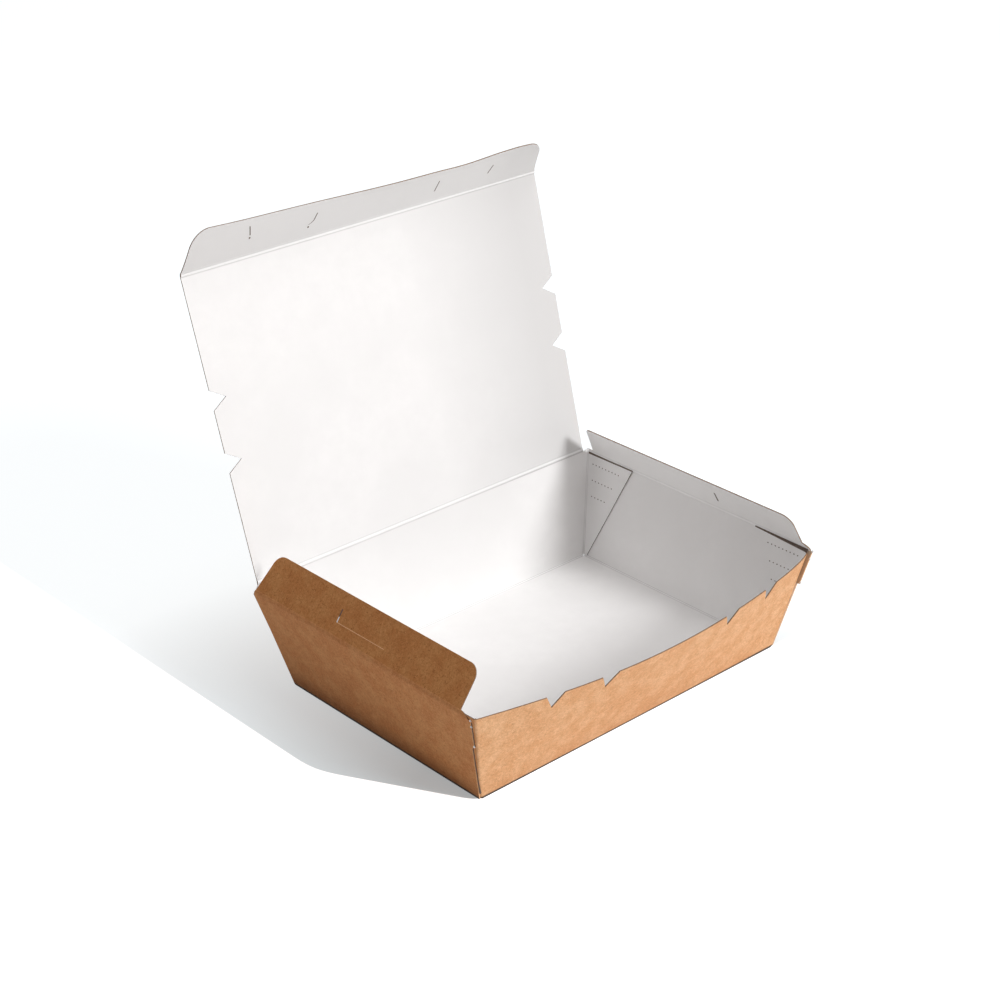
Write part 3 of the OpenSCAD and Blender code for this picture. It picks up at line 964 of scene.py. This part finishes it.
class TAKEAWAY_OT_tray(bpy.types.Operator):
    """Builds the tray: base, four walls and the tabs glued inside the side walls"""

    bl_idname = "takeaway.tray"
    bl_label = "Tray"

    def execute(self, context):
        b = box(context)
        shells = Shells()
        self.sides_and_base(shells, b)
        self.front_wall(shells, b)
        self.back_wall(shells, b)
        for side in (-1, 1):
            for end in (-1, 1):
                self.tab(shells, b, side, end)
        finish_panel(shells, "tray", board_materials())
        return {"FINISHED"}

    def sides_and_base(self, shells, b):
        """One strip up the left wall, over the base and up the right wall, rounded at both
        folds. Each row runs front to back, longer with height by the overhang and the ear."""
        s = b.s
        reach = s.fold_reach
        ear = s.ear_width / (2 * b.side_y)
        t = np.concatenate([[0.0, ear], np.linspace(0, 1, WALL_COLUMNS)[1:]])
        v = np.concatenate([
            np.linspace(reach, s.ear_start - EAR_JUMP, WALL_ROWS),
            np.linspace(s.ear_start + EAR_JUMP, s.side_slant - s.hinge_reach, EAR_ROWS),
        ])
        ends = b.half_y + s.side_overhang * v / s.side_slant
        front = -(ends + np.where(v > s.ear_start, s.ear_step, 0.0))
        y = mix(front[:, None], ends[:, None], t[None])
        foot_y = mix(-b.half_y + reach, b.half_y - reach, t)
        walls, folds = {}, {}
        for side in (-1, 1):
            walls[side] = b.side_point(side, y, v[:, None])
            corner = points(side * b.half_x, foot_y, b.floor_z)
            folds[side] = curve(corner - side * reach * RIGHT, corner, walls[side][0])
        base = between([folds[-1][0], folds[1][0]], [BASE_STEPS])[1:-1]
        middle = np.concatenate([
            walls[-1][:0:-1], folds[-1][::-1], base, folds[1], walls[1][1:]
        ])
        flat, above = np.zeros(len(base)), len(v) - 1
        ridge, tone = bead(s.crease_bead, above, 0), crease_highlight_and_shade(above, 0)
        bare = np.zeros((len(middle) - 1, len(t) - 1), bool)
        bare[:EAR_ROWS, 0] = bare[-EAR_ROWS:, 0] = True
        row = np.arange(len(middle) - 1)
        # The side walls' outside is the kraft with painted shade.
        on_side = (row < len(tone) - 1) | (row > len(row) - len(tone))
        shells.sheet(
            middle, s.board, TRAY_MIDDLE, bare=bare,
            outer=np.repeat(np.where(on_side, SHADED_SIDE, OUTSIDE), len(t) - 1),
            swell=np.concatenate([ridge, flat, ridge[::-1]]),
            rims=(OUTSIDE, EDGE, OUTSIDE, KERF),
            line=np.concatenate([tone, flat, tone[::-1]]),
        )
        for side in (-1, 1):
            self.front_edge(shells, b, side, v, front)

    def front_edge(self, shells, b, side, v, front):
        """The white nicks in a side wall's front edge, whose y is `front` at the heights v, and on
        the left a dark bar of painted shadow in the gap between that edge and the tab behind it."""
        s = b.s
        out = -b.side_in(side)
        for height in NICKS:
            y = np.interp(height, v, front)
            low = b.side_point(side, y, height - NICK_BELOW)
            high = b.side_point(side, y, height + NICK_ABOVE)
            add_bar(shells, low, high, BACK, out, NICK_WIDTH, s.board, NICK_TIP, INSIDE)
        if side > 0:
            return
        # Painted shadow: dark bars in the gap, broken at the ear.
        below, above = s.ear_start - 2 * EAR_JUMP, s.ear_start + 2 * EAR_JUMP
        for heights in ((s.edge_gap_start, below), (above, s.edge_gap_end)):
            y = np.interp(heights, v, front) - s.edge_gap / 2
            low, high = b.side_point(side, y, heights, b.glued)
            add_bar(shells, low, high, BACK, out, s.edge_gap, s.board)

    def front_wall(self, shells, b):
        """The bowed front wall, from its cut edge down over the fold to the base. Its ends stop
        just short of the corners, where the tabs' folds begin."""
        s = b.s
        u, loss = b.front_columns()
        height = b.front_slant(u) - s.front_cut_depth * loss
        v = np.linspace(1, 0, FRONT_STEPS + 1)[:-1, None] * height
        limit = 1 - CORNER_SHARE * s.fold_reach / b.front_half(u, v)
        wall = b.front_point(np.clip(u, -limit, limit), v)
        inner = 1 - s.fold_reach / b.tab_x
        fold = points(np.clip(u, -inner, inner) * b.tab_x, -b.half_y, b.floor_z)
        rounding = rounded(wall[-1], fold, fold + BACK, s.fold_reach)
        shells.sheet(
            np.concatenate([wall, rounding]), s.board, TRAY_MIDDLE,
            swell=bead(s.crease_bead, len(wall), 0),
            rims=(EDGE, OUTSIDE, INSIDE, OUTSIDE),
            line=crease_highlight_and_shade(len(wall), 0),
        )

    def back_wall(self, shells, b):
        """The flat back wall, from the base over the fold up to the lid's crease, with its two
        corners cut down beside the lid."""
        s = b.s
        reach = s.fold_reach
        lid_half = b.lid_half(0.0)
        edge = lid_half / b.back_top_half
        u = np.concatenate([[-1.0], np.linspace(-edge, edge, BACK_COLUMNS), [1.0]])
        inner = np.abs(u) < 1
        level = (s.back_slant - s.hinge_reach) * math.cos(s.back_lean)
        corner = (s.back_slant - b.shoulder_drop(u)) * math.cos(s.back_lean)
        rise = np.where(inner, level, corner)
        corner_x = np.sign(u) * (b.tab_x + corner * math.tan(s.side_lean) - reach)
        fold = points(u * (b.tab_x - reach), b.half_y, b.floor_z)
        top = b.back_point(np.where(inner, u / edge * lid_half, corner_x), rise)
        rounding = rounded(fold - BACK, fold, top, reach)
        wall = between([rounding[-1], top], [BACK_STEPS])[1:]
        shells.sheet(
            np.concatenate([rounding, wall]), s.board, TRAY_MIDDLE,
            swell=bead(s.crease_bead, 0, len(wall)),
            rims=(INSIDE, OUTSIDE, INSIDE, OUTSIDE),
            line=crease_highlight_and_shade(0, len(wall)),
        )

    def tab(self, shells, b, side, end):
        """A tab: it turns the corner from the front wall (end -1) or back wall (end 1) and lies
        inside the side wall. Columns run up the corner, rows from the wall to the free edge, which
        stands off the side wall by the cube of its height."""
        s = b.s
        share = np.linspace(TAB_START, 1, TAB_COLUMNS)
        if end < 0:
            height = share * b.front_slant(float(side))
            root = side * (1 - s.tab_root / b.tab_x)
            corner = b.front_point(np.full_like(share, side), height)
            wall = b.front_point(np.full_like(share, root), height)
        else:
            rise = share * (s.back_slant - b.shoulder_drop(side)) * math.cos(s.back_lean)
            corner = b.back_point(side * (b.tab_x + rise * math.tan(s.side_lean)), rise)
            wall = corner - side * s.tab_root * RIGHT
        corner_y = np.abs(corner[:, 1])
        corner_v = (corner[:, 2] - b.floor_z) / math.cos(s.side_lean)
        free_v = share * (s.side_slant - s.tab_drop)
        free_y = mix(b.half_y - s.tab_bottom, corner_y[-1] - s.tab_top, share)
        free = b.side_point(side, end * free_y, free_v, b.glued + s.tab_lift * share ** 3)
        fold = rounded(wall, corner, free, s.fold_reach)
        middle = np.concatenate([fold, between([fold[-1], free], [TAB_STEPS])[1:]])
        # A left tab has the side walls' painted shade from the last two steps of its fold.
        past = (np.arange(len(middle) - 1) >= FOLD_STEPS - 2) & (side < 0)
        shells.sheet(
            middle, s.board, TRAY_MIDDLE,
            outer=np.repeat(np.where(past, SHADED_SIDE, OUTSIDE), len(share) - 1),
            swell=bead(s.crease_bead, 0, TAB_STEPS),
            # The rim along the free edge is dark with painted shadow.
            rims=(OUTSIDE, EDGE, SLIT, EDGE),
            line=crease_highlight_and_shade(0, TAB_STEPS),
        )
        self.top_gap_shadow(shells, b, side, end, corner_y[-1], corner_v[-1], free_y[-1])
        self.pricks(shells, b, side, end, (corner_v, corner_y), (free_v, free_y))

    def top_gap_shadow(self, shells, b, side, end, corner_y, corner_v, free_y):
        """The painted shadow over a tab's top edge: a dark bar that narrows from the corner to half
        a tab gap at the free edge. On the left it starts part of the way along."""
        s = b.s
        rim = s.side_slant - s.tab_drop
        low = min(corner_v, rim)
        width = min(s.side_slant - low, s.tab_gap * GAP_MOST)
        sink = GAP_SINK if side > 0 and end > 0 else 0.0
        foot = b.side_point(side, end * corner_y, low + width / 2 - sink, b.glued)
        tip = b.side_point(side, end * free_y, rim + s.tab_gap / 4, b.glued + s.tab_lift)
        if side < 0:
            foot = mix(foot, tip, GAP_START)
        up, inward = b.side_up(side), b.side_in(side)
        add_bar(shells, foot, tip, up, inward, width, s.board, s.tab_gap / 2)

    def pricks(self, shells, b, side, end, corner, free):
        """Rows of small pricks in a tab's face, where the glue grips. Each is a six-sided dark
        disc with a short side, so that it is a closed shell. It stands off the side wall as the
        tab does, by the cube of the height and evenly from fold to free edge. `corner` and `free`
        are the heights and distances of these two."""
        s = b.s
        up = b.side_up(side)
        angle = np.arange(6)[:, None] * math.pi / 3
        ring = s.dot_size / 2 * (np.cos(angle) * BACK + PRICK_FLAT * np.sin(angle) * up)
        normal = np.cross(BACK, up)
        if normal[0] * side > 0:
            ring, normal = ring[::-1], -normal
        disc = np.concatenate([ring, ring - PRICK_DEPTH * normal])
        here = np.arange(6)
        after = (here + 1) % 6
        sides = np.stack([here, here + 6, after + 6, after], 1)
        caps = [[0, 1, 2, 3], [0, 3, 4, 5], [9, 8, 7, 6], [11, 10, 9, 6]]
        quads = np.concatenate([caps, sides])
        for row in range(PRICK_ROWS):
            v = s.dot_rows - row * s.dot_row_step
            corner_y, free_y = np.interp(v, *corner), np.interp(v, *free)
            y = np.arange(corner_y - s.dot_from_fold, free_y + s.dot_from_edge, -s.dot_step)
            away = s.tab_lift * (v / corner[0][-1]) ** 3 * (corner_y - y) / (corner_y - free_y)
            at = b.side_point(side, end * y, v, b.glued + away + s.board / 2 + PRICK_RISE)
            discs = (at[:, None] + disc).reshape(-1, 3)
            faces = (quads + len(disc) * np.arange(len(y))[:, None, None]).reshape(-1, 4)
            shells.add(discs, [(faces, SLIT)])


class TAKEAWAY_OT_lid(bpy.types.Operator):
    """Builds the lid, with a tongue between two V cuts on each side"""

    bl_idname = "takeaway.lid"
    bl_label = "Lid"

    def execute(self, context):
        b = box(context)
        s = b.s
        y, loss = b.lid_rows()
        half = b.lid_half(y) - s.cut_depth * loss
        u = np.linspace(-1, 1, PANEL_COLUMNS)
        shells = Shells()
        middle = b.lid_point(u * half[:, None], y[:, None])
        rims = (INSIDE, EDGE, INSIDE, EDGE)
        shells.sheet(middle, s.board, b.lid_foot + b.lid_in, rims=rims)
        finish_panel(shells, "lid", board_materials(inside="white_lid_shaded"))
        return {"FINISHED"}


class TAKEAWAY_OT_front_flap(bpy.types.Operator):
    """Builds the lid's front flap, with two pairs of slits"""

    bl_idname = "takeaway.front_flap"
    bl_label = "Lid front flap"

    def execute(self, context):
        b = box(context)
        s = b.s
        v = grown_rows(s.hinge_reach, s.tuck_width, s.tuck_radius)
        x = np.linspace(-1, 1, TUCK_COLUMNS) * b.tuck_half(v)[:, None]
        shells = Shells()
        middle = b.tuck_surface(x, v[:, None])
        rims = (INSIDE, EDGE, EDGE, EDGE)
        shells.sheet(middle, s.board, b.tuck_foot + b.tuck_in, rims=rims)
        for number, (top, foot) in enumerate(SLITS):
            self.slit(shells, b, number, np.array(top), np.array(foot))
        finish_panel(shells, "lid_front_flap", board_materials(inside="white_lid_shaded"))
        return {"FINISHED"}

    def slit(self, shells, b, number, top, foot):
        """One slit, as short dark bars of painted shade that follow the flap from its top to its
        foot:
        the first two end in a dot, and the second turns into a hook before it."""
        s = b.s
        share = np.linspace(0, 1, SLIT_STEPS + 1)
        x, v = (top + (foot - top) * share[:, None]).T
        if number == HOOKED_SLIT:
            turned = np.clip(share - HOOK_START, 0, 1) / (1 - HOOK_START)
            x = x - s.slit_hook * turned ** 2
        course = b.tuck_surface(x, v)
        for here, there in zip(course, course[1:]):
            add_bar(shells, here, there, RIGHT, b.tuck_in, s.slit_width, s.board)
        if number < DOTTED_SLITS:
            low, high = b.tuck_surface(x[-1], v[-1] - s.slit_dot * np.array([1, 2]))
            add_bar(shells, low, high, RIGHT, b.tuck_in, s.slit_width * WIDE_SHARE, s.board)


class TAKEAWAY_OT_side_flaps(bpy.types.Operator):
    """Builds the two side flaps, each with a U-shaped slot cut"""

    bl_idname = "takeaway.side_flaps"
    bl_label = "Side flaps"

    def execute(self, context):
        b = box(context)
        s = b.s
        v = grown_rows(s.hinge_reach, s.flap_width, s.flap_front_radius)
        for side, name in ((-1, "left_flap"), (1, "right_flap")):
            front, back = b.flap_ends(v, side)
            y = mix(front[:, None], back[:, None], np.linspace(0, 1, PANEL_COLUMNS))
            shells = Shells()
            middle = b.flap_point(side, y, v[:, None])
            rims = (OUTSIDE, EDGE, EDGE, EDGE)
            shells.sheet(middle, s.board, b.flap_point(side, 0.0, 0.0, 1.0), rims=rims)
            self.slot(shells, b, side)
            finish_panel(shells, name, board_materials("kraft_flap_shaded"))
        return {"FINISHED"}

    def slot(self, shells, b, side):
        """The slot as it shows: its long side closed and pale, and one end open and dark with
        painted shade. On the left the open end's foot lets the white board behind it show."""
        s = b.s
        half = s.slot_length / 2
        out, inward = b.flap_out(side), b.flap_in(side)
        first = b.flap_point(side, side * half * SLOT_SHARE, s.slot_start)
        last = b.flap_point(side, -side * half, s.slot_start)
        add_kerf(shells, first, last, out, -inward, s.slit_width * KERF_SHARE, s.board)
        tip = b.flap_point(side, -side * half, s.slot_start + s.slot_end)
        if side > 0:
            add_bar(shells, last, tip, BACK, inward, s.slit_width * WIDE_SHARE, s.board)
            return
        middle, width = mix(last, tip, SLOT_FOOT), s.slit_width * SLOT_LEFT_SHARE
        add_bar(shells, middle, tip, BACK, inward, width, s.board)
        add_bar(shells, last, middle, BACK, inward, width, s.board, slot=INSIDE)


class TAKEAWAY_OT_creases(bpy.types.Operator):
    """Builds the four hinge creases, each a strip curved over the fold between two panels"""

    bl_idname = "takeaway.creases"
    bl_label = "Hinge creases"

    # How a crease looks: its rims' slot, the strength of its painted highlight and shade, and its
    # own faces.
    LID_LOOK = (INSIDE, 0.8, {"inside": "white_lid_shaded"})
    SIDE_LOOK = (OUTSIDE, 0.35, {"outside": "kraft_side_shaded"})

    def execute(self, context):
        b = box(context)
        s = b.s
        u = np.linspace(-1, 1, PANEL_COLUMNS)
        down = np.array([0.0, -math.sin(s.back_lean), -math.cos(s.back_lean)])
        line = b.lid_point(u * b.lid_half(0.0), 0.0)
        ways = (down, b.lid_run, b.lid_in)
        self.crease(s, "lid_crease", ("tray", "lid"), (line, line), ways, self.LID_LOOK)
        line = b.tuck_point(u * b.lid_half(s.lid_depth), 0.0)
        ways = (-b.lid_run, b.tuck_run, b.tuck_in)
        bodies = ("lid", "lid_front_flap")
        self.crease(s, "front_flap_crease", bodies, (line, line), ways, self.LID_LOOK)
        for side, name in ((-1, "left_flap"), (1, "right_flap")):
            front, back = b.flap_ends(np.full(1, s.hinge_reach), side)
            wall = b.flap_point(side, u * b.side_y, 0.0)
            flap = b.flap_point(side, mix(front, back, (u + 1) / 2), 0.0)
            ways = (-b.side_up(side), b.flap_out(side), b.flap_in(side))
            bodies = ("tray", name)
            self.crease(s, name + "_crease", bodies, (wall, flap), ways, self.SIDE_LOOK)
        return {"FINISHED"}

    def crease(self, s, name, bodies, lines, ways, look):
        """A strip over a crease, from one panel's edge to the next: a quadratic curve pulled to
        the crease, as wide as the first panel up to the crease and as the second after it. It
        blends straight across the crease, with no part along it. `ways` are the directions down
        the first panel, out along the second, and inwards."""
        first, second = lines
        back_way, ahead_way, into = ways
        slot, strength, faces = look
        before = first + back_way * s.hinge_reach
        after = second + ahead_way * s.hinge_reach
        shells = Shells()
        shells.sheet(
            curve(before, first, after), s.board, first.mean(0) + into,
            swell=bead(s.crease_bead, 0, 0),
            rims=(slot, EDGE, slot, EDGE),
            line=crease_highlight_and_shade(0, 0, strength),
        )
        piece = shells.build(name, board_materials(**faces))
        start, end = before.mean(0), after.mean(0)
        along = (first[-1] - first[0]) / np.linalg.norm(first[-1] - first[0])
        end = end - along * np.dot(end - start, along)
        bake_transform(piece)


class TAKEAWAY_OT_stage(bpy.types.Operator):
    """Sets up the white ground, the soft light and the camera"""

    bl_idname = "takeaway.stage"
    bl_label = "Stage"

    def execute(self, context):
        scene = context.scene
        scene.view_settings.view_transform = "Standard"
        self.camera(scene)
        self.ground(scene)
        self.world(scene)
        for lamp in LAMPS:
            self.lamp(scene, *lamp)
        return {"FINISHED"}

    def camera(self, scene):
        """The photograph's viewing place, direction and long lens."""
        yaw, pitch, roll = (math.radians(angle) for angle in CAMERA_TURN)
        level = math.cos(pitch)
        ahead = Vector((math.cos(yaw) * level, math.sin(yaw) * level, -math.sin(pitch)))
        right = Vector((math.sin(yaw), -math.cos(yaw), 0))
        up = right.cross(ahead)
        side = math.cos(roll) * right + math.sin(roll) * up
        top = -math.sin(roll) * right + math.cos(roll) * up
        data = bpy.data.cameras.new("camera")
        data.sensor_width, data.lens = CAMERA_SENSOR, CAMERA_LENS
        data.clip_end = CAMERA_END
        camera = bpy.data.objects.new("camera", data)
        rotation = Matrix((side, top, -ahead)).transposed()
        camera.matrix_world = Matrix.Translation(Vector(CAMERA_PLACE)) @ rotation.to_4x4()
        scene.collection.objects.link(camera)
        scene.camera = camera

    def ground(self, scene):
        """A wide white floor, a trace under the box."""
        mesh = bpy.data.meshes.new("ground")
        r = GROUND_REACH
        mesh.from_pydata([(-r, -r, 0), (r, -r, 0), (r, r, 0), (-r, r, 0)], [], [(0, 1, 2, 3)])
        mesh.materials.append(self.ground_material(scene.takeaway_colours))
        floor = bpy.data.objects.new("ground", mesh)
        floor.location.z = -GROUND_DROP
        scene.collection.objects.link(floor)

    def ground_material(self, colours):
        """Matt grey to the box, and a glow to the camera that leaves the ground white outside the
        outline of a painted shadow. Inside all of its lines, which meet in smooth corners, the
        ground takes the painted shadow's colour and the glow weakens the nearer a place is to the
        foot of the shadow; the lamps' own shadow shows through."""
        material = bpy.data.materials.new("ground_white")
        material.use_nodes = True
        material.node_tree.nodes.clear()
        graph = Graph(material.node_tree)
        rays = graph.add("LightPath").outputs
        seen = graph.maths("MAXIMUM", rays["Is Camera Ray"], rays["Is Glossy Ray"])
        place = graph.place()
        outside = None
        for x, y, reach in SHADOW_LINES:
            along = graph.vector_maths("DOT_PRODUCT", place, (x, y, 0.0))
            past = graph.maths("SUBTRACT", along, reach)
            if outside is None:
                outside = past
            else:
                outside = graph.maths("SMOOTH_MAX", outside, past, SHADOW_ROUNDING)
        outside = graph.span(outside, 0.0, SHADOW_EDGE)
        away = graph.vector_maths("DISTANCE", place, SHADOW_FOOT)
        grey = graph.span(away, *SHADOW_FADE, *SHADOW_GLOW)
        white = graph.maths("MAXIMUM", grey, outside)
        floor = graph.blend(outside, tuple(colours.shadow), PURE_WHITE)
        tint = graph.blend(seen, tuple(colours.ground), floor)
        diffuse = graph.add("BsdfDiffuse", {"Color": tint})
        glow = graph.add("Emission", {"Strength": graph.maths("MULTIPLY", seen, white)})
        both = graph.add("AddShader", {0: diffuse.outputs[0], 1: glow.outputs[0]})
        graph.add("OutputMaterial", {"Surface": both.outputs[0]})
        return material

    def world(self, scene):
        """White to the camera, and a soft fill to everything else."""
        world = bpy.data.worlds.new("world")
        world.use_nodes = True
        scene.world = world
        background = world.node_tree.nodes["Background"].inputs
        graph = Graph(world.node_tree)
        seen = graph.add("LightPath").outputs["Is Camera Ray"]
        fill = tuple(scene.takeaway_colours.fill)
        graph.feed(background["Color"], graph.blend(seen, fill, PURE_WHITE))
        graph.feed(background["Strength"], graph.span(seen, 0.0, 1.0, FILL_STRENGTH, 1.0))

    def lamp(self, scene, name, place, size, power):
        """A round lamp that looks at the box's middle."""
        data = bpy.data.lights.new(name, "AREA")
        data.shape = "DISK"
        data.size = size
        data.energy = power
        lamp = bpy.data.objects.new(name, data)
        lamp.location = place
        lamp.rotation_euler = (-Vector(place)).to_track_quat("-Z", "Y").to_euler()
        scene.collection.objects.link(lamp)


class TAKEAWAY_PT_panel(bpy.types.Panel):
    """Sidebar panel with the box's pieces and sizes"""

    bl_idname = "TAKEAWAY_PT_panel"
    bl_label = "Takeaway Box"
    bl_space_type = "VIEW_3D"
    bl_region_type = "UI"
    bl_category = "Takeaway Box"

    def draw(self, context):
        layout = self.layout
        for operator in OPERATORS:
            layout.operator(operator.bl_idname)
        for group in (context.scene.takeaway_sizes, context.scene.takeaway_colours):
            column = layout.column()
            for name in group.__annotations__:
                column.prop(group, name)


OPERATORS = (
    TAKEAWAY_OT_tray,
    TAKEAWAY_OT_lid,
    TAKEAWAY_OT_front_flap,
    TAKEAWAY_OT_side_flaps,
    TAKEAWAY_OT_creases,
    TAKEAWAY_OT_stage,
)
CLASSES = (BoxSizes, BoxColours, *OPERATORS, TAKEAWAY_PT_panel)


def register():
    """Registers the classes and the scene's two groups of settings."""
    for cls in CLASSES:
        bpy.utils.register_class(cls)
    bpy.types.Scene.takeaway_sizes = bpy.props.PointerProperty(type=BoxSizes)
    bpy.types.Scene.takeaway_colours = bpy.props.PointerProperty(type=BoxColours)


def unregister():
    """Takes them away again."""
    del bpy.types.Scene.takeaway_colours
    del bpy.types.Scene.takeaway_sizes
    for cls in reversed(CLASSES):
        bpy.utils.unregister_class(cls)


def main():
    """Builds the whole scene."""
    register()
    bpy.ops.takeaway.stage()
    bpy.ops.takeaway.tray()
    bpy.ops.takeaway.lid()
    bpy.ops.takeaway.front_flap()
    bpy.ops.takeaway.side_flaps()
    bpy.ops.takeaway.creases()


if __name__ == "__main__":
    main()
